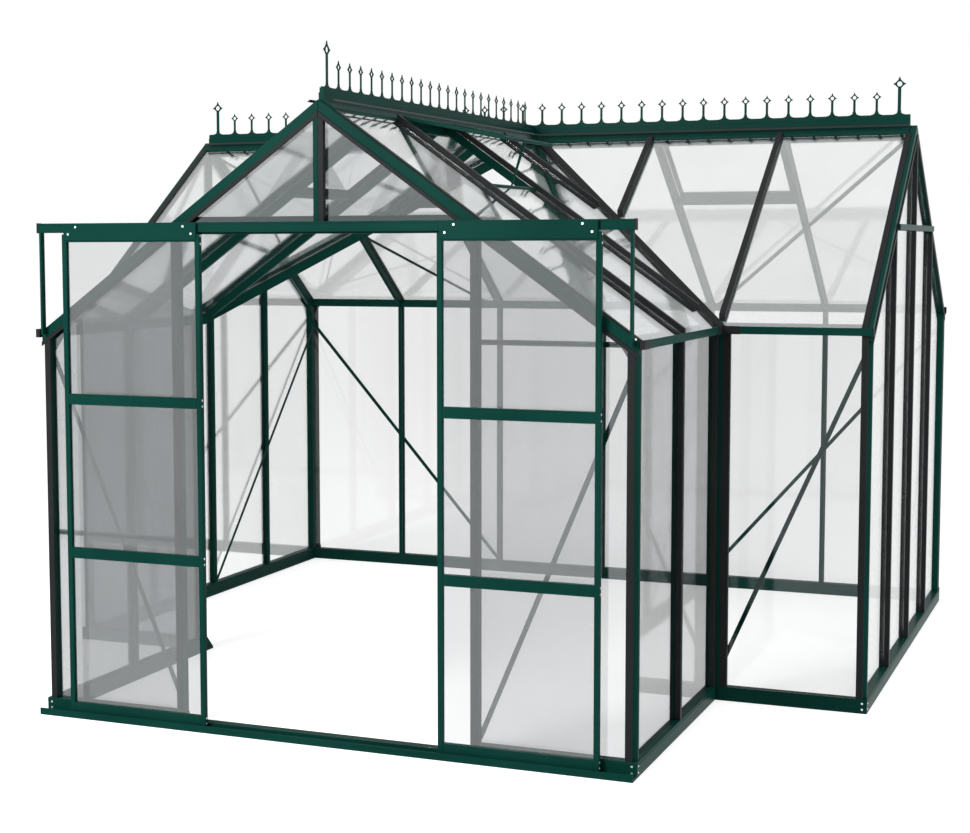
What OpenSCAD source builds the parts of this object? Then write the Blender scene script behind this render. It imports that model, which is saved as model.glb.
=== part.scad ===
// T-plan glass greenhouse: a front wing with two sliding door leaves runs into a cross wing.
// Millimetres, +Z up. Origin on the floor, in the middle of the plan's outline.
// The doors face -Y. Each wall is drawn in its own frame: s along it, w inwards, z up.

/* [Overall] */
// Width of one glazing bay, four to a gable and six along the cross wing
bay = 640; // [600:10:680]
// How much less than two bays the front wing stands out from the cross wing
wing_less = 56; // [0:1:80]
// Height of the eaves, where the roof's outer plane meets the walls
eaves_h = 1604; // [1500:1:1720]
// Height of the apex of the roof's outer plane
apex_h = 2514; // [2380:1:2640]

/* [Base] */
// Height of the base rail
base_h = 60; // [50:1:80]
// Depth of the base rail's flat top
base_top = 45; // [45:1:60]
// Depth of the base rail on the floor
base_foot = 66; // [60:1:90]
// Height of the threshold in the doorway
sill_h = 28; // [20:1:32]
// Clearance between the leaves and the door guide's lip
guide_gap = 17; // [15:1:30]
// Height of the door guide's front lip
guide_lip_h = 28; // [20:1:40]

/* [Frame] */
// Side of the corner posts, and depth of the bars and rafters
post = 45; // [42:1:52]
// Outer face of the corner posts, cut at 45 degrees, measured along each side
post_cut = 23; // [12:1:30]
// Width of the glazing bars
bar_w = 20; // [16:1:26]
// Width of the door jambs
jamb_w = 30; // [24:1:36]
// Width of the clip-on capping strips
cap_w = 26; // [20:1:32]
// How far the capping over the panes stands out from the glass
cap_t = 22; // [14:1:24]
// Thickness of the capping over the posts, jambs and rafters
edge_t = 5; // [3:0.5:6]
// Width of the capping under the gable rafters
rake_w = 16; // [12:1:26]
// How far an inner post reaches past the front wing's wall
inner_out = 14; // [0:1:20]
// Width of the capping beside the inner posts
inner_cap = 34; // [20:1:40]
// Height of the door head's rebate behind the gable's glass
head_rebate = 26; // [10:1:40]
// Thickness of the glass
glass_t = 4; // [3:0.5:6]
// How far the eaves beams reach below the roof bars
beam_lap = 5; // [4:1:12]
// Width of the braces
brace_w = 20; // [14:1:28]
// Thickness of the braces and knee plates
plate_t = 3; // [2:0.5:4]
// Reach of the knee plates along each member
knee = 110; // [90:5:150]
// Height of the pane joint left of the doors
split_left = 761; // [400:1:1200]
// Height of the pane joint right of the doors
split_right = 1589; // [800:1:1600]

/* [Ridge] */
// Height of the ridge's top above the apex
ridge_up = 42; // [34:1:70]
// Half width of the ridge's top
ridge_half = 8; // [6:1:12]
// Height of the upright band at the ridge's top
band_h = 18; // [12:1:24]
// How far the ridge's web reaches past its top on each side
web_out = 4; // [2:1:8]
// How far the ridge's cover stands above the roof's outer plane
cover_t = 4; // [3:0.5:8]
// Distance of the ridges' ends from the gables
ridge_in = 38; // [5:1:42]
// How far the ridge's skirt reaches down each side, measured level
skirt = 60; // [45:1:80]
// Finials to each bay along the ridge
finials = 6; // [4:1:8]
// Height of the small finials above the ridge
finial_h = 114; // [90:1:140]
// Height of the tall finials above the ridge
tall_h = 182; // [160:1:240]
// Distance of the cross wing's tall finials from its gables
tall_in_cross = 90; // [70:1:110]
// Distance of the front wing's tall finial from its gable
tall_in_front = 88; // [70:1:110]
// Height of the finials' flared feet
flare_h = 24; // [12:1:30]
// Height of the cresting strip between them
strip_h = 4; // [3:1:8]
// Thickness of the cresting
crest_t = 4; // [3:0.5:5]

/* [Water] */
// Width of the gutters
gutter_w = 18; // [16:1:30]
// Wall thickness of the gutters
gutter_t = 3; // [2:0.5:4]
// Diameter of the downpipes
pipe_d = 46; // [36:1:56]

/* [Vents] */
// Length of each roof vent down the slope
vent_len = 475; // [380:5:520]
// Angle the front wing's vents stand open, from the roof
vent_open = 23.5; // [5:0.5:30]
// Thickness of the vent frames
vent_t = 14; // [10:1:20]
// Width of the vent frames' bars
vent_bar = 22; // [16:1:30]

/* [Doors] */
// How far a closed leaf laps over its door jamb
leaf_lap = 18; // [14:1:30]
// How far an open leaf still stands into the doorway
leaf_shows = 120; // [100:1:140]
// Clearance between the leaves' tops and the track
leaf_gap = 6; // [6:1:40]
// Height of the leaf's lower middle rail
rail_low = 668; // [600:1:760]
// Height of the leaf's upper middle rail
rail_high = 1304; // [1200:1:1400]
// Width of the leaf's stiles
stile_w = 21; // [18:1:40]
// Thickness of the leaf's frame
leaf_t = 22; // [18:1:24]
// Clearance between the track and the hanger plates in front of it
plate_gap = 8; // [5:1:12]
// Height of the hanger plate
hanger_h = 69; // [60:1:90]
// Height of the door track
track_h = 39; // [34:1:50]
// Depth of the door track
track_d = 26; // [22:1:28]
// Height of the door track's underside
track_z = 2004; // [2000:1:2016]
// Distance of the track's ends from the gable's corners
track_in = 14; // [0:1:30]
// Width of the straps that the track hangs on
strap_w = 10; // [8:1:20]

/* [Hidden] */
$fn = 48;
w_half = 2 * bay;                   // half a gable
l_half = 3 * bay;                   // half the cross wing
wing = 2 * bay - wing_less;         // depth of the front wing
y_back = wing / 2 + w_half;         // back wall
y_front = -y_back;                  // front gable's outer plane
y_inner = y_front + wing;           // cross wing's front wall
y_ridge = y_inner + w_half;         // cross wing's ridge
y_bars = [for (i = [0:3]) y_front + i * bay]; // lines of the front wing's bars
rise = (apex_h - eaves_h) / w_half; // roof slope
slope = atan(rise);
cos_roof = cos(slope);
g0 = edge_t;                        // outer face of roof glass, posts and rafters
g1 = g0 + glass_t;                  // inner face of the roof glass
p0 = cap_t;                         // outer face of the walls' glass
p1 = p0 + glass_t;                  // inner face of the walls' glass
b1 = post;                          // inner face of bars, posts and rafters
rake = b1 + rake_w - 4;             // lower edge of the capping under a gable rafter
beam_z = zr(w_half - b1, b1) - beam_lap; // underside of the eaves beams
beam_in = 40;                       // depth of the eaves beams
foot_u = w_half - g0;               // outer end of the gable rafters
core = 16;                          // half width of the ridge's web
core_z = zr(core, b1) - 10;         // underside of the ridge's web
crest_z = apex_h + ridge_up;        // top of the ridge
joint = 1.5;                        // half the joint between two panes, and their overhang
fit = 0.02;                         // gap left between sloping faces that lie on each other
valley_half = 14;                   // half width of the valley rafters
valley_side = valley_half * sqrt(2);
flange = 34;                        // plan width of a valley cover's flange
valley_gap = 4;                     // roof panes back from the valley line
seam = post + 2;                    // far edge of the capping on a corner post
seam_w = cap_w + 2;                 // its width
jamb_0 = bay - jamb_w / 2;
jamb_1 = bay + jamb_w / 2;
head_z = track_z - 8;               // underside of the door head
head_top = track_z + track_h - 4;
rebate_top = head_top + head_rebate;
pitch = (l_half - tall_in_cross) / (3 * finials - 0.5);
gutter_top = eaves_h + 4;
pipe_y = y_back + pipe_d / 2 + 7;
leaf_w1 = -track_d - plate_gap;     // leaf's front face, in front of the gable
leaf_w0 = leaf_w1 + leaf_t;         // leaf's back face
leaf_shut = 4;                      // inner edge of a closed leaf, from the middle
leaf_w = jamb_0 + leaf_lap - leaf_shut;
leaf_in = jamb_0 - leaf_shows;      // inner edge of an open leaf, from the middle
leaf_top = track_z - leaf_gap;
lip_t = 5;                          // thickness of the guide's lip and of the hanger plates
guide_out = guide_gap + lip_t - leaf_w1;
leaf_foot = 20;                     // underside of the leaf
top_rail_h = 32;                    // height of its top rail
foot_h = 42;                        // height of its bottom rail
rail_h = 44;                        // height of its middle rails
rails_z = [[leaf_foot, foot_h], [rail_low, rail_h], [rail_high, rail_h],
    [leaf_top - top_rail_h, top_rail_h]];
strap_in = 7;                       // from the track's end to the strap
strap_low = 16;                     // from the eaves down to the strap's foot
strap_foot = 13;                    // height of the strap's foot
hanger_z = track_z + track_h - 1;   // top of the hanger plate
plate_lap = 9;                      // how far the plate laps over the stiles
sill_u = skirt + vent_len * cos_roof - 6;

// Height of the plane lying t under the roof's outer plane, at level distance u from a ridge,
// and the distance at which that plane has fallen to height z.
function zr(u, t = 0) = apex_h - rise * u - t / cos_roof;
function ur(z, t = 0) = (apex_h - z - t / cos_roof) / rise;

module box(a, b) translate(a) cube(b - a);
module both() { children(); mirror([1, 0, 0]) children(); }

// Wall frames, each with s along the wall and w inwards.
module on_front() translate([0, y_front, 0]) children();
module on_inner() translate([0, y_inner, 0]) children();
module on_back() translate([0, y_back, 0]) mirror([0, 1, 0]) children();
module on_side(x) translate([x, 0, 0]) rotate(90) children();
module on_gable() translate([l_half, y_ridge, 0]) rotate(90) children();

// Slope frames, each with u down the slope and v along it. The front wing's is the model's own.
module on_slope_front() translate([0, y_ridge, 0]) rotate(-90) children();
module on_slope_back() translate([0, y_ridge, 0]) rotate(90) children();

// A flat plate in a wall's plane.
module plate(pts, w0, w1) translate([0, w1, 0]) rotate([90, 0, 0])
    linear_extrude(w1 - w0) polygon(pts);

// An upright piece of a gable under the roof at depth t, from s0 to s1 about the ridge line.
module upright(s0, s1, w0, w1, z0, t) plate(s0 * s1 < 0
    ? [[s0, z0], [s1, z0], [s1, zr(s1, t)], [0, zr(0, t)], [s0, zr(-s0, t)]]
    : [[s0, z0], [s1, z0], [s1, zr(abs(s1), t)], [s0, zr(abs(s0), t)]], w0, w1);

// A profile drawn in (w, z) and run along s, its ends cut in plan to a four-sided outline.
module run(profile, plan) intersection() {
    translate([-2 * l_half, 0, 0]) rotate([90, 0, 90]) linear_extrude(4 * l_half)
        polygon(profile);
    translate([0, 0, -10]) linear_extrude(apex_h) polygon(plan);
}

// A slab of a slope between depths t0 and t1.
module slope_strip(u0, u1, v0, v1, t0, t1)
    plate([[u0, zr(u0, t0)], [u1, zr(u1, t0)], [u1, zr(u1, t1)], [u0, zr(u0, t1)]], v0, v1);

// The same slab cut in plan to any outline.
module slope_piece(plan, t0, t1) intersection() {
    slope_strip(0, w_half + 50, -2 * l_half, 2 * l_half, t0, t1);
    linear_extrude(2 * apex_h) polygon(plan);
}

// ---- base ----
module base_rail(s0, e0, s1, e1) run([[0, 0], [base_foot, 0], [base_foot, 10],
    [base_top, base_h], [0, base_h]], [[s0, 0], [s1, 0], [s1 - e1 * base_foot, base_foot],
    [s0 + e0 * base_foot, base_foot]]);
module base_rails_cross() color("darkgreen") {
    both() {
        on_front() base_rail(jamb_0, 0, w_half, 1);
        on_inner() base_rail(w_half, -1, l_half, 1);
    }
    on_back() base_rail(-l_half, 1, l_half, 1);
}
module base_rails_side() color("darkgreen") both() {
    on_side(w_half) base_rail(y_front, 1, y_inner, -1);
    on_side(l_half) base_rail(y_inner, 1, y_back, 1);
}
module door_guide() color("darkgreen") on_front() {
    box([-w_half, -guide_out, 0], [w_half, 0, 10]);
    box([-w_half, -guide_out, 9], [w_half, lip_t - guide_out, guide_lip_h]);
    box([-jamb_0, -1, 0], [jamb_0, base_top, sill_h]);
}

// ---- posts and bars ----
// A corner post, its top cut to the rafter that stands on it; the slope rises along +X.
module corner_post() intersection() {
    translate([0, 0, base_h]) linear_extrude(eaves_h) polygon([[g0 + post_cut, g0],
        [post, g0], [post, post], [g0, post], [g0, g0 + post_cut]]);
    plate([[0, 0], [2 * post, 0], [2 * post, zr(w_half - 2 * post, b1 + fit)],
        [0, zr(w_half, b1 + fit)]], 0, 2 * post);
}
module corner_posts() color("darkgreen") both() {
    translate([w_half, y_front, 0]) mirror([1, 0, 0]) corner_post();
    translate([l_half, y_inner, 0]) rotate(90) corner_post();
    translate([l_half, y_back, 0]) mirror([0, 1, 0]) rotate(90) corner_post();
}
module inner_posts() color("darkgreen") both()
    box([w_half - post, y_inner, base_h], [w_half + inner_out, y_inner + post, beam_z]);
module door_jambs() color("darkgreen") both() on_front()
    upright(jamb_0, jamb_1, g0, b1, base_h, b1 + fit);
module door_head() color("darkgreen") on_front() {
    intersection() {
        upright(-jamb_0, jamb_0, g0, b1, head_z, b1 + fit);
        box([-jamb_0, g0, head_z], [jamb_0, b1, head_top]);
    }
    intersection() {
        upright(-jamb_0, jamb_0, p1, b1, head_z, b1 + fit);
        box([-jamb_0, p1, head_top - 1], [jamb_0, b1, rebate_top]);
    }
}
module wall_bar(s, z0, z1) box([s - bar_w / 2, p1, z0], [s + bar_w / 2, b1, z1]);
// What fills the bay beside a door jamb between heights z0 and z1, cut to the rafter above.
module side_bay(z0, z1, w0, w1) intersection() {
    upright(jamb_1, w_half - post, w0, w1, base_h, b1 + fit);
    box([0, w0, z0], [w_half, w1, z1]);
}
module pane_strip(z) side_bay(z - bar_w / 2, z + bar_w / 2, p1, b1 - 3);
module wall_bars() color("darkgreen") {
    both() {
        on_side(w_half) wall_bar(y_bars[1], base_h, beam_z);
        on_gable() {
            upright(-bar_w / 2, bar_w / 2, p1, b1, base_h, b1 + fit);
            both() upright(bay - bar_w / 2, bay + bar_w / 2, p1, b1, base_h, b1 + fit);
        }
    }
    on_back() for (i = [-2:2]) wall_bar(i * bay, base_h, beam_z);
    on_front() {
        upright(-bar_w / 2, bar_w / 2, p1, b1, rebate_top, b1 + fit);
        upright(-bar_w, 0, 0, p0, head_top, rake);
        mirror([1, 0, 0]) pane_strip(split_left);
        pane_strip(split_right);
    }
}
module wall_cap(s0, wide, t) box([s0, 0, base_h], [s0 + wide, t, beam_z]);
module gable_cap(s0, wide, z0, t) upright(s0, s0 + wide, 0, t, z0, rake);
module wall_caps() color("dimgray") {
    both() {
        on_front() {
            gable_cap(w_half - seam, seam_w, base_h, g0);
            gable_cap(jamb_0, jamb_w, base_h, g0);
        }
        on_side(w_half) {
            wall_cap(y_bars[1] - cap_w / 2, cap_w, p0);
            wall_cap(y_inner - cap_w, cap_w, p0);
        }
        on_inner() {
            wall_cap(w_half + inner_out, inner_cap, p0);
            wall_cap(l_half - seam, seam_w, g0);
        }
        on_gable() {
            gable_cap(-cap_w / 2, cap_w, base_h, p0);
            both() gable_cap(bay - cap_w / 2, cap_w, base_h, p0);
        }
        on_back() {
            wall_cap(l_half - seam, seam_w, g0);
            for (i = [1:2]) wall_cap(i * bay - cap_w / 2, cap_w, p0);
        }
    }
    on_back() wall_cap(-cap_w / 2, cap_w, p0);
    on_front() gable_cap(0, cap_w - 2, head_top, p0);
}

// ---- gable rafters ----
module rafter_pair(t0, t1, w0, w1) both() slope_strip(0.5, foot_u, w0, w1, t0, t1);
module gable_rafters() color("darkgreen") {
    on_front() rafter_pair(g0, b1, g0, b1);
    both() on_gable() rafter_pair(g0, b1, g0, b1);
}
module rake_caps() color("dimgray") {
    on_front() rafter_pair(rake - rake_w, rake, 0, g0);
    both() on_gable() rafter_pair(rake - rake_w, rake, 0, g0);
}
module gable_ties() color("slategray") both() on_gable() {
    u = ur(track_z + track_h / 2, b1);
    box([-u, -10, track_z + 8], [u, 0, track_z + track_h - 4]);
}

// ---- eaves ----
module eaves_beam(s0, e0, s1, e1) run([[0, beam_z], [beam_in, beam_z],
    [beam_in, zr(w_half - beam_in, g1)], [0, zr(w_half, g1)]],
    [[s0, 0], [s1, 0], [s1 - e1 * beam_in, beam_in], [s0 + e0 * beam_in, beam_in]]);
module eaves_beams_wing() color("darkgreen") both() on_side(w_half)
    eaves_beam(y_front + post, 0, y_inner, -1);
module eaves_beams_cross() color("darkgreen") {
    both() on_inner() eaves_beam(w_half, -1, l_half - post, 0);
    on_back() eaves_beam(-l_half + post, 0, l_half - post, 0);
}
module gutter(s0, e0, s1, e1) run([[0, beam_z], [0, beam_z + gutter_t],
    [gutter_t - gutter_w, beam_z + gutter_t], [gutter_t - gutter_w, gutter_top],
    [-gutter_w, gutter_top], [-gutter_w, beam_z]],
    [[s0, 0], [s1, 0], [s1 - e1 * gutter_w, -gutter_w], [s0 + e0 * gutter_w, -gutter_w]]);
module gutters_wing() color("slategray") both() on_side(w_half)
    gutter(y_front, 0, y_inner, 1);
module gutters_cross() color("slategray") {
    both() on_inner() gutter(w_half, 1, l_half, 0);
    on_back() gutter(-l_half, 0, l_half, 0);
}
module gutter_end(s) box([s, -gutter_w - 1, beam_z - 1], [s + 4, 0, gutter_top + 1]);
module gutter_ends() color("dimgray") both() {
    on_side(w_half) gutter_end(y_front - 4);
    on_inner() gutter_end(l_half);
    on_back() gutter_end(l_half);
}
module downpipes() color("dimgray") both() translate([l_half - 30, pipe_y, 0]) {
    cylinder(d = pipe_d, h = beam_z);
    translate([0, 0, beam_z - 12]) cylinder(d = pipe_d + 10, h = 12);
    for (z = [24, 52]) translate([0, 0, z]) cylinder(d = pipe_d + 8, h = 14);
}

// ---- ridges and cresting ----
// Half a ridge's section outside its web, as [out, up] points from the roof to the top.
web = ridge_half + web_out;
ridge_side = [[skirt, zr(skirt, g0 - fit)], [skirt, zr(skirt) + cover_t],
    [web, zr(web) + cover_t], [web, crest_z - band_h - 2], [ridge_half, crest_z - band_h],
    [ridge_half, crest_z]];
function mirrored(pts) = [for (i = [len(pts) - 1:-1:0]) [-pts[i][0], pts[i][1]]];
// A ridge along +X: its cover from x0 to x1, its web from x0 + web_0 to x1 - web_1.
module ridge(x0, x1, web_0, web_1) {
    translate([x0, 0, 0]) rotate([90, 0, 90]) linear_extrude(x1 - x0)
        polygon(concat([[0, zr(0, g0 - fit)]], ridge_side, mirrored(ridge_side)));
    translate([x0 + web_0, 0, 0]) rotate([90, 0, 90]) linear_extrude(x1 - x0 - web_0 - web_1)
        polygon([[-core, core_z], [core, core_z], [core, zr(core, g0 - fit)], [0, crest_z - 1],
            [-core, zr(core, g0 - fit)]]);
}
// Plan of the mitre where the front wing's ridge runs into the cross wing's.
module ridge_mitre(far) linear_extrude(2 * apex_h) polygon([[-skirt, far], [skirt, far],
    [skirt, y_ridge - skirt], [0, y_ridge], [-skirt, y_ridge - skirt]]);
module ridge_cross() color("darkgreen") difference() {
    translate([0, y_ridge, 0])
        ridge(ridge_in - l_half, l_half - ridge_in, b1 - ridge_in, b1 - ridge_in);
    ridge_mitre(y_ridge - 2 * skirt);
}
module ridge_front() color("darkgreen") intersection() {
    rotate(90) ridge(y_front + ridge_in, y_ridge, b1 - ridge_in, 0);
    ridge_mitre(y_front);
}
// A finial h tall on its flared foot, with a pointed head k times the small one's size.
module finial(h, k) difference() {
    mid = h - 25 * k;
    side = [[30, strip_h - 1], [30, strip_h], [18, strip_h + 3], [10, flare_h / 2],
        [5.5 * k, flare_h + 2], [5.5 * k, mid - 13.5 * k], [14 * k, mid - 4.5 * k], [22 * k, mid],
        [14 * k, mid + 4.5 * k], [4.5 * k, mid + 14 * k], [0.4, h]];
    polygon(concat(side, mirrored(side)));
    translate([0, mid]) circle(r = 8.5 * k);
}
// Cresting along +X up to the ridge's end, with n finials, the last one tall.
module cresting(end, last, n) translate([0, crest_t / 2, crest_z]) rotate([90, 0, 0])
    linear_extrude(crest_t) {
        square([end, strip_h]);
        for (i = [1:n - 1]) translate([last - i * pitch, 0]) finial(finial_h, 1);
        translate([last, 0]) finial(tall_h, 1.4);
    }
module cresting_cross() color("darkgreen") translate([0, y_ridge, 0]) both()
    cresting(l_half - ridge_in, l_half - tall_in_cross, 3 * finials);
module cresting_front() color("darkgreen") translate([0, y_ridge - crest_t / 2, 0])
    rotate(-90) {
        len = y_ridge - y_front - crest_t / 2;
        last = len - tall_in_front;
        cresting(len - ridge_in, last, floor((last - skirt) / pitch) + 1);
    }

// ---- valleys and roof bars ----
// Each valley rafter's foot is notched over the corner where two eaves beams meet.
module valley_rafters() color("darkgreen") both() difference() {
    intersection() {
        translate([0, y_ridge, 0]) rotate(-45) plate([for (p = [[0, g1],
            [w_half * sqrt(2) - beam_in, g1], [w_half * sqrt(2) - beam_in, b1 + 6], [0, b1 + 6]])
            [p[0], zr(p[0] / sqrt(2), p[1])]], -valley_half, valley_half);
        box([core, y_inner, beam_z], [w_half, y_ridge - core, apex_h]);
    }
    box([w_half - beam_in, y_inner - post, 0], [w_half + post, y_inner + beam_in, apex_h]);
}
module valley_covers() color("darkslategray") both() {
    slope_piece([[skirt, y_ridge - skirt], [w_half, y_inner], [w_half - flange, y_inner],
        [skirt, y_ridge - skirt - flange]], 0, g0 - fit);
    on_slope_front() slope_piece([[skirt, skirt], [w_half, w_half],
        [w_half, w_half + flange], [skirt, skirt + flange]], 0, g0 - fit);
}
module roof_bar(v) slope_strip(core, w_half - beam_in, v - bar_w / 2, v + bar_w / 2, g1, b1);
// A bar that ends on the valley rafter, which has run u down the slope at the bar's line.
module jack_bar(v, u, turn) {
    h = bar_w / 2;
    end = u - valley_side;
    slope_piece([[core, v - h], [end + turn * h, v - h], [end - turn * h, v + h], [core, v + h]],
        g1, b1);
}
module roof_bars() color("darkgreen") both() intersection() {
    union() {
        roof_bar(y_bars[1]);
        for (i = [2:3]) jack_bar(y_bars[i], y_ridge - y_bars[i], 1);
        on_slope_front() {
            roof_bar(w_half);
            jack_bar(bay, bay, -1);
        }
        on_slope_back() {
            for (i = [-2:-1]) roof_bar(i * bay);
            slope_strip(core, w_half - beam_in, -bar_w / 2, 0, g1, b1);
        }
    }
    box([-l_half, -2 * y_back, beam_z + fit], [l_half, 2 * y_back, apex_h]);
}
module roof_cap(v, u1, out = cap_t - edge_t)
    slope_strip(skirt, u1, v - cap_w / 2, v + cap_w / 2, -out, g0 - fit);
module roof_caps() color("dimgray") {
    low = w_half + 2;
    rim = post - 8;
    cut = flange + cap_w / 2;
    both() {
        roof_cap(y_front + rim, low, 0);
        roof_cap(y_bars[1], low);
        for (i = [2:3]) roof_cap(y_bars[i], y_ridge - y_bars[i] - cut);
        on_slope_front() {
            roof_cap(bay, bay - cut);
            roof_cap(w_half, w_half - cut);
            roof_cap(l_half - rim, low, 0);
        }
        on_slope_back() {
            for (i = [-2:-1]) roof_cap(i * bay, low);
            roof_cap(rim - l_half, low, 0);
        }
    }
    on_slope_back() roof_cap(0, low);
}

// ---- braces and knees ----
module brace(a, b) {
    d = b - a;
    n = [-d[1], d[0]] / norm(d) * brace_w / 2;
    plate([a - n, b - n, b + n, a + n], b1, b1 + plate_t);
}
module braces() color("slategray") both() {
    low = base_h + 14;
    top = eaves_h - 113;
    brace_in = p1 + 12; // keeps its end off the next wall's glass
    on_front() brace([bay + 8, low], [w_half - brace_in, top]);
    on_inner() brace([w_half - 16, low], [l_half - brace_in, top]);
    on_back() brace([bay, low], [l_half - brace_in, top]);
    on_gable() brace([0, low], [w_half - brace_in, top - 60]);
    // Under the back slope, from the eaves up to the ridge's end.
    foot = w_half - post - 4;
    on_slope_back() slope_piece([[foot, bay], [foot, bay + 1.4 * brace_w],
        [core + 10, l_half - post], [core + 10, l_half - post - 1.4 * brace_w]],
        b1, b1 + plate_t);
}
module knee_pair() both() {
    s = w_half - knee;
    e = w_half - beam_in;
    o = w_half - p1 - 1;
    plate([[o, eaves_h - 90], [o, beam_z], [e, beam_z], [e, zr(e, b1) + 15],
        [s, zr(s, b1) + 15], [s, zr(s, b1) - 8], [w_half - post + 4, eaves_h - 90]],
        b1, b1 + plate_t);
}
module knee_plates() color("slategray") {
    on_front() knee_pair();
    both() on_gable() knee_pair();
}

// ---- door track ----
module door_track() color("darkgreen") on_front()
    box([track_in - w_half, -track_d, track_z], [w_half - track_in, 0, track_z + track_h]);
// Each strap drops from the track to a foot that is bolted to the rafter's face.
module track_hangers() color("darkgreen") both() on_front() {
    x = w_half - track_in - strap_w - strap_in;
    z = eaves_h - strap_low;
    box([x, -track_d, z], [x + strap_w, -1, track_z]);
    box([x, -track_d, z], [x + strap_w, g0, z + strap_foot]);
}

// ---- fixed glass ----
module pane(s0, s1) box([s0, p0, base_h], [s1, p1, beam_z]);
module split_pane(z) {
    side_bay(base_h, z - joint, p0, p1);
    side_bay(z + joint, apex_h, p0, p1);
}
module glass_front() color("lightcyan", 0.4) on_front() {
    both() intersection() {
        upright(joint, jamb_0, p0, p1, head_z, b1 + fit);
        box([joint, p0, head_top], [jamb_0, p1, apex_h]);
    }
    mirror([1, 0, 0]) split_pane(split_left);
    split_pane(split_right);
}
module glass_walls() color("lightcyan", 0.4) both() {
    on_side(w_half) {
        pane(y_front + post, y_bars[1] - joint);
        pane(y_bars[1] + joint, y_inner);
    }
    on_inner() pane(w_half + inner_out, l_half - post);
    on_back() {
        pane(joint, bay - joint);
        pane(bay + joint, 2 * bay - joint);
        pane(2 * bay + joint, l_half - post);
    }
}
module glass_gables() color("lightcyan", 0.4) both() on_gable() both() {
    upright(joint, bay - joint, p0, p1, base_h, b1 + fit);
    upright(bay + joint, w_half - post, p0, p1, base_h, b1 + fit);
}
module roof_pane(u0, v0, v1) slope_strip(u0, w_half + joint, v0, v1, g0, g1 - fit);
// A pane cut in plan to any outline.
module cut_pane(plan) slope_piece(plan, g0, g1 - fit);
module glass_roof_wing() color("lightcyan", 0.4) both() {
    y = [for (b = y_bars) [b - joint, b + joint]];
    low = w_half + joint;
    far = y_ridge - valley_gap;
    roof_pane(core, y_front + post, y[1][0]);
    cut_pane([[sill_u + 6, y[1][1]], [low, y[1][1]], [low, far - low],
        [far - y[2][0], y[2][0]], [sill_u + 6, y[2][0]]]);
    cut_pane([[core, y[2][1]], [far - y[2][1], y[2][1]], [far - y[3][0], y[3][0]],
        [core, y[3][0]]]);
    cut_pane([[core, y[3][1]], [far - y[3][1], y[3][1]], [skirt - valley_gap, y_ridge - skirt],
        [core, y_ridge - skirt]]);
}
module glass_roof_cross() color("lightcyan", 0.4) both() {
    on_slope_front() {
        cut_pane([[core, skirt], [skirt - valley_gap, skirt],
            [bay - joint - valley_gap, bay - joint], [core, bay - joint]]);
        cut_pane([[core, bay + joint], [bay + joint - valley_gap, bay + joint],
            [w_half - joint - valley_gap, w_half - joint], [core, w_half - joint]]);
        roof_pane(core, w_half + joint, l_half - post);
    }
    on_slope_back() {
        roof_pane(core, joint, bay - joint);
        roof_pane(sill_u + 6, bay + joint, 2 * bay - joint);
        roof_pane(core, 2 * bay + joint, l_half - post);
    }
}

// ---- roof vents: one in each slope of the front wing, open, and two in the back slope ----
module vent_sill(v) {
    slope_strip(sill_u, sill_u + 18, v + bar_w / 2, v + bay - bar_w / 2, g1, g1 + 18);
    slope_strip(sill_u, sill_u + 6, v + cap_w / 2 + 1, v + bay - cap_w / 2 - 1, -2, g1 + 1);
}
module vent_sills() color("darkgreen") both() {
    vent_sill(y_bars[1]);
    on_slope_back() vent_sill(bay);
}
module hinged(angle) translate([skirt, 0, zr(skirt, -2) + 0.05]) rotate([0, slope - angle, 0])
    children();
module vent_frame(v, angle) hinged(angle) difference() {
    box([0, v + 20, 0], [vent_len, v + bay - 20, vent_t]);
    box([vent_bar, v + 20 + vent_bar, -1],
        [vent_len - vent_bar, v + bay - 20 - vent_bar, vent_t + 1]);
}
module vent_frames() color("darkgreen") both() {
    vent_frame(y_bars[1], vent_open);
    on_slope_back() vent_frame(bay, 0);
}
module vent_pane(v, angle) hinged(angle) box([vent_bar, v + 20 + vent_bar, 5],
    [vent_len - vent_bar, v + bay - 20 - vent_bar, 5 + glass_t]);
module vent_glass() color("lightcyan", 0.4) both() {
    vent_pane(y_bars[1], vent_open);
    on_slope_back() vent_pane(bay, 0);
}
module vent_stays() color("slategray") both() {
    a = slope - vent_open;
    x = skirt;
    z = zr(skirt, -2) + 0.05;
    plate([[x + (vent_len - 32) * cos(a), z - (vent_len - 32) * sin(a)],
        [x + (vent_len - 18) * cos(a), z - (vent_len - 18) * sin(a)],
        [sill_u + 5, zr(sill_u + 5, -2)], [sill_u, zr(sill_u, -2)]],
        y_bars[1] + bay / 2 - 4, y_bars[1] + bay / 2 + 4);
}

// ---- door leaves, drawn at the right and mirrored for the left ----
module stiles() color("darkgreen") on_front() for (x = [leaf_in, leaf_in + leaf_w - stile_w])
    box([x, leaf_w1, leaf_foot], [x + stile_w, leaf_w0, leaf_top]);
module rails() color("darkgreen") on_front() {
    a = leaf_in + stile_w;
    b = leaf_in + leaf_w - stile_w;
    for (r = rails_z) box([a, leaf_w1, r[0]], [b, leaf_w0, r[0] + r[1]]);
    box([a - plate_lap, leaf_w1 - lip_t, hanger_z - hanger_h],
        [b + plate_lap, leaf_w1, hanger_z]);
}
module leaf_glass() color("lightcyan", 0.4) on_front() {
    m = (leaf_w0 + leaf_w1 - glass_t) / 2;
    for (i = [0:2]) box([leaf_in + stile_w, m, rails_z[i][0] + rails_z[i][1]],
        [leaf_in + leaf_w - stile_w, m + glass_t, rails_z[i + 1][0]]);
}
module left_stiles() mirror([1, 0, 0]) stiles();
module left_rails() mirror([1, 0, 0]) rails();
module left_glass() mirror([1, 0, 0]) leaf_glass();
module right_stiles() stiles();
module right_rails() rails();
module right_glass() leaf_glass();

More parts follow.
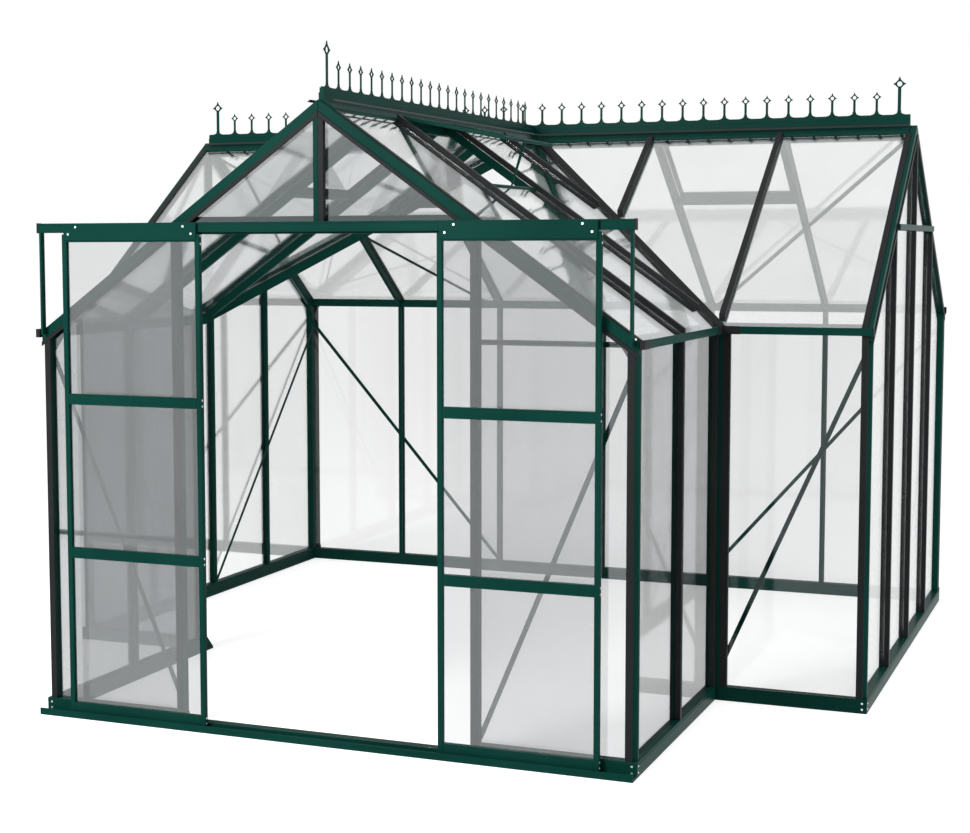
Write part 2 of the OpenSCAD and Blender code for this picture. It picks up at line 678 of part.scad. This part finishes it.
base_rails_cross();
base_rails_side();
door_guide();
corner_posts();
inner_posts();
door_jambs();
door_head();
wall_bars();
wall_caps();
gable_rafters();
rake_caps();
gable_ties();
eaves_beams_wing();
eaves_beams_cross();
gutters_wing();
gutters_cross();
gutter_ends();
downpipes();
ridge_cross();
ridge_front();
cresting_cross();
cresting_front();
valley_rafters();
valley_covers();
roof_bars();
roof_caps();
braces();
knee_plates();
door_track();
track_hangers();
glass_front();
glass_walls();
glass_gables();
glass_roof_wing();
glass_roof_cross();
vent_sills();
vent_frames();
vent_glass();
vent_stays();
left_stiles();
left_rails();
left_glass();
right_stiles();
right_rails();
right_glass();
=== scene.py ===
import math

import bmesh
import bpy
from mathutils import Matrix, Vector


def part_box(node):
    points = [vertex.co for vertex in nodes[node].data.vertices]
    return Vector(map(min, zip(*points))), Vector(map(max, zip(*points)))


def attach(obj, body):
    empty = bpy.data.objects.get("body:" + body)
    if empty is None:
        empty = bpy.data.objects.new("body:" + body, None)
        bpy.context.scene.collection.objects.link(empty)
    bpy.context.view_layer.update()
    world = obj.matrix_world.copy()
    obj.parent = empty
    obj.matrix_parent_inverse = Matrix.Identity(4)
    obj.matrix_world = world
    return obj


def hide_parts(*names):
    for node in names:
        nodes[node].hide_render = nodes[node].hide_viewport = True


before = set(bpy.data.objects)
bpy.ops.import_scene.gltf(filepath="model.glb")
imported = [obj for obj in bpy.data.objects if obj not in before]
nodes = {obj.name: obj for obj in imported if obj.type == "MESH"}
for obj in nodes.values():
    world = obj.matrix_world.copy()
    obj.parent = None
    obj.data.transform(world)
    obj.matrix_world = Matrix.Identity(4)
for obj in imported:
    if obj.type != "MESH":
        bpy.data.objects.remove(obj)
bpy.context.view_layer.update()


# ---- Base rails ----
# Extruded aluminium rails on the floor all round, mitred and bolted at the corners, with a
# sill sloping inwards and a bead along the outer face that the panes stand behind.
# The paint is a baked powder coat: faint orange peel, and a slight drift in its colour.
def powder_coat(name, deep, light, rough, ior):
    coat = bpy.data.materials.new(name)
    coat.use_nodes = True
    tree = coat.node_tree
    shader = tree.nodes["Principled BSDF"]
    shader.inputs["IOR"].default_value = ior
    place = tree.nodes.new("ShaderNodeTexCoord")
    drift = tree.nodes.new("ShaderNodeTexNoise")
    drift.inputs["Scale"].default_value = 1.7
    drift.inputs["Detail"].default_value = 5.0
    shade = tree.nodes.new("ShaderNodeValToRGB")
    shade.color_ramp.elements[0].position = 0.34
    shade.color_ramp.elements[0].color = (*deep, 1.0)
    shade.color_ramp.elements[1].position = 0.66
    shade.color_ramp.elements[1].color = (*light, 1.0)
    sheen = tree.nodes.new("ShaderNodeMapRange")
    sheen.inputs["To Min"].default_value = rough - 0.05
    sheen.inputs["To Max"].default_value = rough + 0.05
    peel = tree.nodes.new("ShaderNodeTexNoise")
    peel.inputs["Scale"].default_value = 420.0
    peel.inputs["Detail"].default_value = 2.0
    bump = tree.nodes.new("ShaderNodeBump")
    bump.inputs["Strength"].default_value = 0.12
    bump.inputs["Distance"].default_value = 0.0006
    wires = tree.links
    wires.new(place.outputs["Object"], drift.inputs["Vector"])
    wires.new(place.outputs["Object"], peel.inputs["Vector"])
    wires.new(drift.outputs["Fac"], shade.inputs["Fac"])
    wires.new(drift.outputs["Fac"], sheen.inputs["Value"])
    wires.new(peel.outputs["Fac"], bump.inputs["Height"])
    wires.new(shade.outputs["Color"], shader.inputs["Base Color"])
    wires.new(sheen.outputs["Result"], shader.inputs["Roughness"])
    wires.new(bump.outputs["Normal"], shader.inputs["Normal"])
    return coat


green = powder_coat("green_paint", (0.002, 0.032, 0.0245), (0.0035, 0.042, 0.032), 0.34, 1.1)


def piece(name, mesh, paint, body):
    made = bpy.data.objects.new(name, mesh)
    bpy.context.scene.collection.objects.link(made)
    mesh.materials.clear()
    mesh.materials.append(paint)
    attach(made, body)
    return made


# A section as drawn in the frame, with its arrises rounded as an extrusion's are.
def rounded(node, paint, body, radius, steps=2):
    work = bmesh.new()
    work.from_mesh(nodes[node].data)
    bmesh.ops.remove_doubles(work, verts=work.verts, dist=0.00001)
    bmesh.ops.dissolve_limit(work, angle_limit=0.004, verts=work.verts, edges=work.edges)
    arrises = [e for e in work.edges if len(e.link_faces) == 2 and e.calc_face_angle() > 0.4]
    bmesh.ops.bevel(work, geom=arrises, offset=radius, segments=steps, affect="EDGES",
                    profile=0.5, clamp_overlap=True)
    mesh = bpy.data.meshes.new(node + "_finished")
    work.to_mesh(mesh)
    work.free()
    made = piece(node + "_finished", mesh, paint, body)
    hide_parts(node)
    return made


for rail in ("base_rails_cross", "base_rails_side"):
    rounded(rail, green, "house", 0.0015)

w_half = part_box("door_guide")[1].x       # half a gable of the front wing
l_half, y_back, rail_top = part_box("base_rails_cross")[1]
y_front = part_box("base_rails_cross")[0].y
y_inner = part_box("inner_posts")[0].y     # the cross wing's front wall
y_ridge = (y_inner + y_back) / 2


# A straight bar of square-cornered section between two low corners and two high ones.
def lay_bar(work, low, high):
    made = bmesh.ops.create_cube(work, size=1.0)["verts"]
    middle, span = (Vector(low) + Vector(high)) / 2, Vector(high) - Vector(low)
    for vert in made:
        vert.co = Vector(c * s + m for c, s, m in zip(vert.co, span, middle))


def bars_piece(name, bars, paint, body, radius=0.0006):
    work = bmesh.new()
    for low, high in bars:
        lay_bar(work, low, high)
    arrises = [e for e in work.edges if e.calc_face_angle() > 0.4]
    bmesh.ops.bevel(work, geom=arrises, offset=radius, segments=1, affect="EDGES",
                    clamp_overlap=True)
    bmesh.ops.recalc_face_normals(work, faces=work.faces)
    mesh = bpy.data.meshes.new(name)
    work.to_mesh(mesh)
    work.free()
    return piece(name, mesh, paint, body)


def both_sides(low, high):
    return [(low, high), ((-high[0], low[1], low[2]), (-low[0], high[1], high[2]))]


bead_z = rail_top - 0.013
bead, bead_top = 0.0016, bead_z + 0.003  # how far it stands out, and its upper edge
door_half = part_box("door_jambs")[1].x
bead_bars = (both_sides((door_half, y_front - bead, bead_z), (w_half, y_front, bead_top))
             + both_sides((w_half, y_front, bead_z), (w_half + bead, y_inner, bead_top))
             + both_sides((w_half, y_inner - bead, bead_z), (l_half, y_inner, bead_top))
             + both_sides((l_half, y_inner, bead_z), (l_half + bead, y_back, bead_top))
             + [((-l_half, y_back, bead_z), (l_half, y_back + bead, bead_top))])
bars_piece("base_beads", bead_bars, green, "house", 0.0004)


# ---- Door guide and threshold ----
# A folded channel on the floor in front of the gable that the leaves' feet run in.
rounded("door_guide", green, "house", 0.0012)


# ---- Posts, jambs, door head and glazing bars ----
# Extruded aluminium uprights bolted to the base rails and the eaves, painted like them.
for upright in ("corner_posts", "inner_posts", "door_jambs", "door_head", "wall_bars"):
    rounded(upright, green, "house", 0.0015)


# ---- Capping strips on the walls ----
# Dark grey strips pressed over the glass onto every bar, with rounded edges.
grey = powder_coat("grey_capping", (0.01, 0.0115, 0.012), (0.015, 0.0165, 0.017), 0.45, 1.18)
rounded("wall_caps", grey, "house", 0.0018, 3)


# ---- Gable rafters, their capping, and the ties across the cross gables ----
# Green extrusions up both sides of each gable over a grey strip that holds the glass.
rounded("gable_rafters", green, "house", 0.0015)
rounded("rake_caps", grey, "house", 0.0015)
rounded("gable_ties", green, "house", 0.0012)


# ---- Eaves beams and gutters ----
# The eaves beams carry the roof bars; the gutter hangs on their outer face.
for rail in ("eaves_beams_wing", "eaves_beams_cross", "gutters_wing", "gutters_cross"):
    rounded(rail, green, "house", 0.001)
rounded("gutter_ends", grey, "house", 0.0006, 1)

gutter_low, gutter_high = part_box("gutters_wing")
gutter_out = gutter_high.x - w_half
gutter_base, gutter_top = gutter_low.z, gutter_high.z


# ---- Gutter sleeves ----
# Moulded dark sleeves that grip each gutter's ends and cover its corner joints.
sleeve_len = 0.074
skin = 0.0012                            # the sleeves' wall
lip = 0.004                              # how far a sleeve turns over the gutter's edge
overrun = 0.0035                         # how far it stands past the gutter's end
out = gutter_out + skin
sleeves = []
for far in (y_front - overrun, y_inner - out - sleeve_len):
    sleeves += both_sides((w_half + gutter_out, far, gutter_base - skin),
                          (w_half + out, far + sleeve_len, gutter_top + skin))
    sleeves += both_sides((w_half, far, gutter_base - skin),
                          (w_half + out, far + sleeve_len, gutter_base))
    sleeves += both_sides((w_half + gutter_out - lip, far, gutter_top),
                          (w_half + out, far + sleeve_len, gutter_top + skin))
near = w_half + out
sleeves += both_sides((near, y_inner - out, gutter_base - skin),
                      (near + sleeve_len, y_inner - gutter_out, gutter_top + skin))
sleeves += both_sides((near, y_inner - out, gutter_base - skin),
                      (near + sleeve_len, y_inner, gutter_base))
sleeves += both_sides((near, y_inner - out, gutter_top),
                      (near + sleeve_len, y_inner - gutter_out + lip, gutter_top + skin))
for near in (-sleeve_len / 2, l_half - sleeve_len + overrun):
    sleeves += both_sides((max(near, 0.0), y_back + gutter_out, gutter_base - skin),
                          (near + sleeve_len, y_back + out, gutter_top + skin))
    sleeves += both_sides((max(near, 0.0), y_back, gutter_base - skin),
                          (near + sleeve_len, y_back + out, gutter_base))
bars_piece("gutter_sleeves", sleeves, grey, "house", 0.0004)


# ---- Downpipes ----
# Round pipes at the two back corners, with moulded collars and a bracket at mid height.
rounded("downpipes", grey, "house", 0.001)


# ---- Ridges ----
# A ridge extrusion with an upright band, a cover that slopes over the roof and a rubber
# strip along the cover's lip that beds it on the glass. The strip is part rubber and part
# painted shade: its dark colour also stands in for the shade under the cover's lip.
for ridge in ("ridge_cross", "ridge_front"):
    rounded(ridge, green, "house", 0.0008)

# Dark rubber colour that is also painted shade: it stands for the seal and the shade under
# the ridge cover's lip together.
rubber_and_painted_shade = powder_coat("rubber_and_painted_shade", (0.006, 0.007, 0.007), (0.011, 0.012, 0.012), 0.6, 1.35)

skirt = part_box("ridge_cross")[1].y - y_ridge
slope_down = max((f.normal for f in nodes["roof_caps"].data.polygons if f.normal.z > 0.5),
                 key=lambda n: n.x)
rise = slope_down.x / slope_down.z        # fall of the roof for each metre level
pane_top = max((v.co for v in nodes["glass_roof_cross"].data.vertices), key=lambda c: c.z)
apex = pane_top.z + rise * abs(pane_top.y - y_ridge)
cos_roof = math.cos(math.atan(rise))


# Height of the plane t under the roof glass's face, u level from its ridge.
def roof_z(u, t=0.0):
    return apex - rise * u - t / cos_roof


# A thin sheet lying on a slope: four corners as (x, y, z), and its thickness upwards.
def lay_sheet(work, corners, thick):
    lower = [work.verts.new(c) for c in corners]
    upper = [work.verts.new(Vector(c) + Vector((0, 0, thick))) for c in corners]
    work.faces.new(lower)
    work.faces.new(upper)
    for i in range(4):
        j = (i + 1) % 4
        work.faces.new((lower[i], lower[j], upper[j], upper[i]))


def sheets_piece(name, sheets, paint, body):
    work = bmesh.new()
    for corners, thick in sheets:
        lay_sheet(work, corners, thick)
    bmesh.ops.recalc_face_normals(work, faces=work.faces)
    mesh = bpy.data.meshes.new(name)
    work.to_mesh(mesh)
    work.free()
    return piece(name, mesh, paint, body)


edge = skirt + 0.0004
inside = skirt - 0.011                    # upper edge of the strip along the cover's lip
cover_top = max(f.center.z + rise * abs(f.center.y - y_ridge)
                for f in nodes["ridge_cross"].data.polygons if 0.5 < f.normal.z < 0.95)
lie = (apex - cover_top) * cos_roof - 0.0002
ridge_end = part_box("ridge_cross")[1].x
front_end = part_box("ridge_front")[0].y
lip_rubber_and_shade = []
for side in (-1, 1):
    lip_rubber_and_shade.append(([(side * inside, y_ridge - inside, roof_z(inside, lie)),
                    (side * ridge_end, y_ridge - inside, roof_z(inside, lie)),
                    (side * ridge_end, y_ridge - edge, roof_z(edge, lie)),
                    (side * edge, y_ridge - edge, roof_z(edge, lie))], 0.0012))
    lip_rubber_and_shade.append(([(side * inside, y_ridge - inside, roof_z(inside, lie)),
                    (side * inside, front_end, roof_z(inside, lie)),
                    (side * edge, front_end, roof_z(edge, lie)),
                    (side * edge, y_ridge - edge, roof_z(edge, lie))], 0.0012))
lip_rubber_and_shade.append(([(-ridge_end, y_ridge + inside, roof_z(inside, lie)),
                (ridge_end, y_ridge + inside, roof_z(inside, lie)),
                (ridge_end, y_ridge + edge, roof_z(edge, lie)),
                (-ridge_end, y_ridge + edge, roof_z(edge, lie))], 0.0012))
# Strips along the cover's lip in the dark colour above, rubber and painted shade in one.
sheets_piece("ridge_rubber_and_shade", lip_rubber_and_shade, rubber_and_painted_shade, "house")


# ---- Cresting ----
# Finials cut from flat sheet along every ridge, with a tall one at each gable.
for crest in ("cresting_cross", "cresting_front"):
    rounded(crest, green, "house", 0.0006, 1)


# ---- Valleys, roof bars and roof capping ----
# Green bars under the glass, dark capping over it, and sheet covers along the valleys.
for bar in ("valley_rafters", "roof_bars"):
    rounded(bar, green, "house", 0.0012)
rounded("valley_covers", grey, "house", 0.0012)
rounded("roof_caps", grey, "house", 0.002, 3)


# ---- Braces and knee plates ----
# Flat galvanised strips across the corner bays, and plates in the gables' eaves corners.
for flat in ("braces", "knee_plates"):
    rounded(flat, green, "house", 0.0006, 1)


# ---- Door track and its hangers ----
# The leaves hang from this box section, held out from the gable on slim straps at its ends.
rounded("door_track", green, "house", 0.0015)
rounded("track_hangers", green, "house", 0.0012)
track_low, track_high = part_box("door_track")
track_lines = [((track_low.x, track_low.y - 0.0014, track_high.z - 0.009),
                (track_high.x, track_low.y, track_high.z - 0.006)),
               ((track_low.x, track_low.y - 0.0014, track_low.z),
                (track_high.x, track_low.y, track_low.z + 0.004))]
bars_piece("track_beads", track_lines, green, "house", 0.0004)
track_caps = both_sides((track_high.x - 0.003, track_low.y - 0.0015, track_low.z - 0.001),
                        (track_high.x + 0.0035, track_high.y, track_high.z + 0.0015))
bars_piece("track_end_caps", track_caps, grey, "house", 0.0006)


# ---- Fixed glass ----
# Horticultural float glass, 4 mm, with a pale film of reflected sky that is denser where
# a pane is seen at a low angle. Each material is for the panes that face one way, and its
# colour is painted reflection: darker on the front panes and side walls, paler on the gables
# and roofs, for the duller or brighter surroundings each way reflects. Smears vary it a
# little.
def pane_glass(name, colour, facing, grazing):
    glass = bpy.data.materials.new(name)
    glass.use_nodes = True
    tree = glass.node_tree
    shader = tree.nodes["Principled BSDF"]
    shader.inputs["Metallic"].default_value = 1.0
    shader.inputs["IOR"].default_value = 1.52
    place = tree.nodes.new("ShaderNodeTexCoord")
    smear = tree.nodes.new("ShaderNodeTexNoise")
    smear.inputs["Scale"].default_value = 3.0
    smear.inputs["Detail"].default_value = 3.0
    smear_and_painted_reflection = tree.nodes.new("ShaderNodeValToRGB")
    smear_and_painted_reflection.color_ramp.elements[0].position = 0.3
    smear_and_painted_reflection.color_ramp.elements[0].color = (*(c * 0.94 for c in colour), 1.0)
    smear_and_painted_reflection.color_ramp.elements[1].position = 0.7
    smear_and_painted_reflection.color_ramp.elements[1].color = (*colour, 1.0)
    polish = tree.nodes.new("ShaderNodeMapRange")
    polish.inputs["To Min"].default_value = 0.02
    polish.inputs["To Max"].default_value = 0.07
    turned = tree.nodes.new("ShaderNodeLayerWeight")
    film = tree.nodes.new("ShaderNodeMapRange")
    film.inputs["To Min"].default_value = facing
    film.inputs["To Max"].default_value = grazing
    wires = tree.links
    wires.new(turned.outputs["Facing"], film.inputs["Value"])
    wires.new(film.outputs["Result"], shader.inputs["Alpha"])
    wires.new(place.outputs["Object"], smear.inputs["Vector"])
    wires.new(smear.outputs["Fac"], smear_and_painted_reflection.inputs["Fac"])
    wires.new(smear.outputs["Fac"], polish.inputs["Value"])
    wires.new(smear_and_painted_reflection.outputs["Color"], shader.inputs["Base Color"])
    wires.new(polish.outputs["Result"], shader.inputs["Roughness"])
    return glass


# One glass in five colours: the differences between them are painted reflection, darker on
# the front panes and side walls, paler on the gables and roofs.
front_glass = pane_glass("front_glass", (0.48, 0.5, 0.51), 0.2, 0.55)
wall_glass = pane_glass("wall_glass", (0.3, 0.32, 0.33), 0.09, 0.5)
gable_glass = pane_glass("gable_glass", (0.85, 0.87, 0.87), 0.1, 0.8)
roof_glass = pane_glass("roof_glass", (0.84, 0.86, 0.86), 0.17, 0.45)
wing_roof_glass = pane_glass("wing_roof_glass", (0.84, 0.86, 0.86), 0.1, 0.72)


def glaze(node, glass):
    nodes[node].data.materials.clear()
    nodes[node].data.materials.append(glass)


glaze("glass_front", front_glass)
glaze("glass_walls", wall_glass)
glaze("glass_gables", gable_glass)
glaze("glass_roof_wing", wing_roof_glass)
glaze("glass_roof_cross", roof_glass)


# ---- Roof vents ----
# Framed panes hinged under the ridge's lip: a pair in the front wing on short stays, and a
# pair closed in the back slope. Each rests on a cross bar between two roof bars.
rounded("vent_sills", green, "house", 0.0012)
rounded("vent_frames", green, "house", 0.0015)
rounded("vent_stays", green, "house", 0.0006, 1)
glaze("vent_glass", roof_glass)


# ---- Door leaves ----
# Two leaves of box section with three panes each. A wide plate over the top rail hangs
# each one from the track, and its foot runs in the guide.
for side in ("left", "right"):
    leaf = side + "_leaf"
    rounded(side + "_stiles", green, leaf, 0.0018)
    rounded(side + "_rails", green, leaf, 0.0015)
    glaze(side + "_glass", front_glass)


# ---- Bolts and screws ----
# Zinc plated pan heads on washers: at the corners and the leaves' joints.
zinc = bpy.data.materials.new("zinc_plate")
zinc.use_nodes = True
zinc_tree = zinc.node_tree
zinc_shader = zinc_tree.nodes["Principled BSDF"]
zinc_shader.inputs["Metallic"].default_value = 1.0
spangle = zinc_tree.nodes.new("ShaderNodeTexVoronoi")
spangle.inputs["Scale"].default_value = 700.0
zinc_place = zinc_tree.nodes.new("ShaderNodeTexCoord")
zinc_shade = zinc_tree.nodes.new("ShaderNodeValToRGB")
zinc_shade.color_ramp.elements[0].color = (0.72, 0.75, 0.75, 1.0)
zinc_shade.color_ramp.elements[1].color = (0.86, 0.88, 0.87, 1.0)
zinc_rough = zinc_tree.nodes.new("ShaderNodeMapRange")
zinc_rough.inputs["To Min"].default_value = 0.28
zinc_rough.inputs["To Max"].default_value = 0.42
zinc_tree.links.new(zinc_place.outputs["Object"], spangle.inputs["Vector"])
zinc_tree.links.new(spangle.outputs["Distance"], zinc_shade.inputs["Fac"])
zinc_tree.links.new(spangle.outputs["Distance"], zinc_rough.inputs["Value"])
zinc_tree.links.new(zinc_shade.outputs["Color"], zinc_shader.inputs["Base Color"])
zinc_tree.links.new(zinc_rough.outputs["Result"], zinc_shader.inputs["Roughness"])

# A washer and a chamfered head on every point, facing along the point's axis.
heads = bpy.data.node_groups.new("fixing_heads", "GeometryNodeTree")
heads.interface.new_socket("Geometry", in_out="INPUT", socket_type="NodeSocketGeometry")
head_radius = heads.interface.new_socket("Head Radius", in_out="INPUT",
                                         socket_type="NodeSocketFloat")
head_height = heads.interface.new_socket("Head Height", in_out="INPUT",
                                         socket_type="NodeSocketFloat")
head_sides = heads.interface.new_socket("Head Sides", in_out="INPUT",
                                        socket_type="NodeSocketInt")
heads.interface.new_socket("Geometry", in_out="OUTPUT", socket_type="NodeSocketGeometry")
given = heads.nodes.new("NodeGroupInput")
result = heads.nodes.new("NodeGroupOutput")
wide = heads.nodes.new("ShaderNodeMath")
wide.operation = "MULTIPLY"
wide.inputs[1].default_value = 1.55
narrow = heads.nodes.new("ShaderNodeMath")
narrow.operation = "MULTIPLY"
narrow.inputs[1].default_value = 0.74
thin = heads.nodes.new("ShaderNodeMath")
thin.operation = "MULTIPLY"
thin.inputs[1].default_value = 0.35
washer = heads.nodes.new("GeometryNodeMeshCylinder")
washer.inputs["Vertices"].default_value = 14
head = heads.nodes.new("GeometryNodeMeshCone")
joined = heads.nodes.new("GeometryNodeJoinGeometry")
axis = heads.nodes.new("GeometryNodeInputNamedAttribute")
axis.data_type = "FLOAT_VECTOR"
axis.inputs["Name"].default_value = "axis"
aim = heads.nodes.new("FunctionNodeAlignRotationToVector")
aim.axis = "Z"
turn = heads.nodes.new("FunctionNodeRandomValue")
turn.data_type = "FLOAT"
turn.inputs[3].default_value = math.tau
turn.inputs["Seed"].default_value = 11
twist = heads.nodes.new("ShaderNodeCombineXYZ")
spun = heads.nodes.new("FunctionNodeRotateRotation")
spun.rotation_space = "LOCAL"
as_turn = heads.nodes.new("FunctionNodeEulerToRotation")
placed = heads.nodes.new("GeometryNodeInstanceOnPoints")
real = heads.nodes.new("GeometryNodeRealizeInstances")
plated = heads.nodes.new("GeometryNodeSetMaterial")
plated.inputs["Material"].default_value = zinc
links = heads.links
links.new(given.outputs["Head Radius"], wide.inputs[0])
links.new(given.outputs["Head Radius"], narrow.inputs[0])
links.new(given.outputs["Head Height"], thin.inputs[0])
links.new(wide.outputs[0], washer.inputs["Radius"])
links.new(thin.outputs[0], washer.inputs["Depth"])
links.new(given.outputs["Head Sides"], head.inputs["Vertices"])
links.new(narrow.outputs[0], head.inputs["Radius Top"])
links.new(given.outputs["Head Radius"], head.inputs["Radius Bottom"])
links.new(given.outputs["Head Height"], head.inputs["Depth"])
links.new(washer.outputs["Mesh"], joined.inputs["Geometry"])
links.new(head.outputs["Mesh"], joined.inputs["Geometry"])
links.new(given.outputs["Geometry"], placed.inputs["Points"])
links.new(joined.outputs["Geometry"], placed.inputs["Instance"])
links.new(axis.outputs["Attribute"], aim.inputs["Vector"])
links.new(turn.outputs[1], twist.inputs["Z"])
links.new(twist.outputs["Vector"], as_turn.inputs["Euler"])
links.new(aim.outputs["Rotation"], spun.inputs["Rotation"])
links.new(as_turn.outputs["Rotation"], spun.inputs["Rotate By"])
links.new(spun.outputs["Rotation"], placed.inputs["Rotation"])
links.new(placed.outputs["Instances"], real.inputs["Geometry"])
links.new(real.outputs["Geometry"], plated.inputs["Geometry"])
links.new(plated.outputs["Geometry"], result.inputs["Geometry"])


# Heads at every (place, facing) pair, made into one plain mesh on one body.
def fixings(name, spots, radius, height, sides, body):
    marks = bpy.data.meshes.new(name + "_marks")
    marks.from_pydata([place for place, facing in spots], [], [])
    facings = marks.attributes.new("axis", "FLOAT_VECTOR", "POINT")
    facings.data.foreach_set("vector", [c for place, facing in spots for c in facing])
    source = bpy.data.objects.new(name + "_marks", marks)
    bpy.context.scene.collection.objects.link(source)
    nodes_modifier = source.modifiers.new("heads", "NODES")
    nodes_modifier.node_group = heads
    nodes_modifier[head_radius.identifier] = radius
    nodes_modifier[head_height.identifier] = height
    nodes_modifier[head_sides.identifier] = sides
    finished = source.evaluated_get(bpy.context.evaluated_depsgraph_get())
    mesh = bpy.data.meshes.new_from_object(finished)
    mesh.name = name
    bpy.data.objects.remove(source)
    return piece(name, mesh, zinc, body)


face_front, face_back = (0, -1, 0), (0, 1, 0)
inset = 0.02                             # from a corner to the bolts beside it
house_bolts = []
for side in (-1, 1):
    outward = (side, 0, 0)
    for z in (0.018, 0.043):
        house_bolts += [((side * (w_half - inset), y_front, z), face_front),
                        ((side * w_half, y_front + inset, z), outward),
                        ((side * (l_half - inset), y_inner, z), face_front),
                        ((side * l_half, y_inner + inset, z), outward),
                        ((side * l_half, y_back - inset, z), outward),
                        ((side * (l_half - inset), y_back, z), face_back)]
    house_bolts.append(((side * (w_half - 0.014), y_front - 0.008, gutter_top + 0.004),
                        face_front))
fixings("house_bolts", house_bolts, 0.0029, 0.0022, 6, "house")

for side, sign in (("left", -1), ("right", 1)):
    low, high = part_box(side + "_rails")
    stile_low, stile_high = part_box(side + "_stiles")
    inner, outer = sorted((stile_low.x, stile_high.x), key=abs)
    plate_in, plate_out = sorted((low.x, high.x), key=abs)
    plate_front = low.y
    leaf_screws = []
    for near, far in ((plate_in, sign), (plate_out, -sign)):
        leaf_screws.append(((near + far * 0.022, plate_front, high.z - 0.044), face_front))
        leaf_screws.append(((near + far * 0.058, plate_front, high.z - 0.015), face_front))
    middle_y = (stile_low.y + stile_high.y) / 2
    for z in (0.03, 0.052, 0.678, 0.702, 1.314, 1.338, 1.958, 1.99):
        leaf_screws.append(((inner, middle_y, z), (-sign, 0, 0)))
        leaf_screws.append(((outer, middle_y, z), (sign, 0, 0)))
    fixings(side + "_leaf_screws", leaf_screws, 0.003, 0.002, 10, side + "_leaf")


# ---- Studio ----
# A white room: pale floor, soft lamps, and a camera a little above eye level.
floor_paint = bpy.data.materials.new("studio_floor")
floor_paint.use_nodes = True
floor_tree = floor_paint.node_tree
floor_shader = floor_tree.nodes["Principled BSDF"]
floor_shader.inputs["Base Color"].default_value = (0.8, 0.8, 0.8, 1.0)
floor_shader.inputs["Roughness"].default_value = 0.9
floor_shader.inputs["Specular IOR Level"].default_value = 0.0
seen = floor_tree.nodes.new("ShaderNodeLightPath")
any_view = floor_tree.nodes.new("ShaderNodeMath")
any_view.operation = "MAXIMUM"
lift = floor_tree.nodes.new("ShaderNodeMath")
lift.operation = "MULTIPLY"
lift.inputs[1].default_value = 0.62      # the floor's own light, so that it is seen as white
floor_tree.links.new(seen.outputs["Is Camera Ray"], any_view.inputs[0])
floor_tree.links.new(seen.outputs["Is Transmission Ray"], any_view.inputs[1])
floor_tree.links.new(any_view.outputs[0], lift.inputs[0])
floor_tree.links.new(lift.outputs[0], floor_shader.inputs["Emission Strength"])
floor_shader.inputs["Emission Color"].default_value = (1.0, 1.0, 1.0, 1.0)
floor_mesh = bpy.data.meshes.new("studio_floor")
reach = 60.0
floor_mesh.from_pydata([(-reach, -reach, 0), (reach, -reach, 0), (reach, reach, 0),
                        (-reach, reach, 0)], [], [(0, 1, 2, 3)])
floor_mesh.materials.append(floor_paint)
floor = bpy.data.objects.new("studio_floor", floor_mesh)
bpy.context.scene.collection.objects.link(floor)
floor.visible_glossy = False

world = bpy.data.worlds.new("studio")
bpy.context.scene.world = world
world.use_nodes = True
sky = world.node_tree
ambient = sky.nodes["Background"]
ambient.inputs["Color"].default_value = (1.0, 1.0, 1.0, 1.0)
sky_seen = sky.nodes.new("ShaderNodeLightPath")
sky_ray = sky.nodes.new("ShaderNodeMath")
sky_ray.operation = "MAXIMUM"
sky_view = sky.nodes.new("ShaderNodeMath")
sky_view.operation = "MAXIMUM"
level = sky.nodes.new("ShaderNodeMapRange")
level.inputs["To Min"].default_value = 0.5
level.inputs["To Max"].default_value = 1.0
sky.links.new(sky_seen.outputs["Is Camera Ray"], sky_ray.inputs[0])
sky.links.new(sky_seen.outputs["Is Glossy Ray"], sky_ray.inputs[1])
sky.links.new(sky_ray.outputs[0], sky_view.inputs[0])
sky.links.new(sky_seen.outputs["Is Transmission Ray"], sky_view.inputs[1])
sky.links.new(sky_view.outputs[0], level.inputs["Value"])
sky.links.new(level.outputs["Result"], ambient.inputs["Strength"])


def lamp(name, place, target, size, watts):
    light = bpy.data.lights.new(name, "AREA")
    light.shape = "DISK"
    light.size = size
    light.energy = watts
    made = bpy.data.objects.new(name, light)
    made.location = place
    made.rotation_euler = (Vector(target) - Vector(place)).to_track_quat("-Z", "Y").to_euler()
    bpy.context.scene.collection.objects.link(made)


lamp("front_softbox", (-3.0, -9.5, 5.5), (0, 0, 1.2), 4.0, 900)
lamp("side_softbox", (8.5, -2.0, 4.0), (0, 0, 1.2), 4.0, 260)

scene = bpy.context.scene
scene.view_settings.view_transform = "Standard"
lens = bpy.data.cameras.new("camera")
lens.lens = 65.93059
lens.shift_x = 0.05638
lens.shift_y = -0.02256
camera = bpy.data.objects.new("camera", lens)
camera.location = (3.01544, -8.06412, 1.95198)
camera.rotation_euler = (math.pi / 2 - 0.0841, 0.00256, 0.39164)
scene.collection.objects.link(camera)
scene.camera = camera
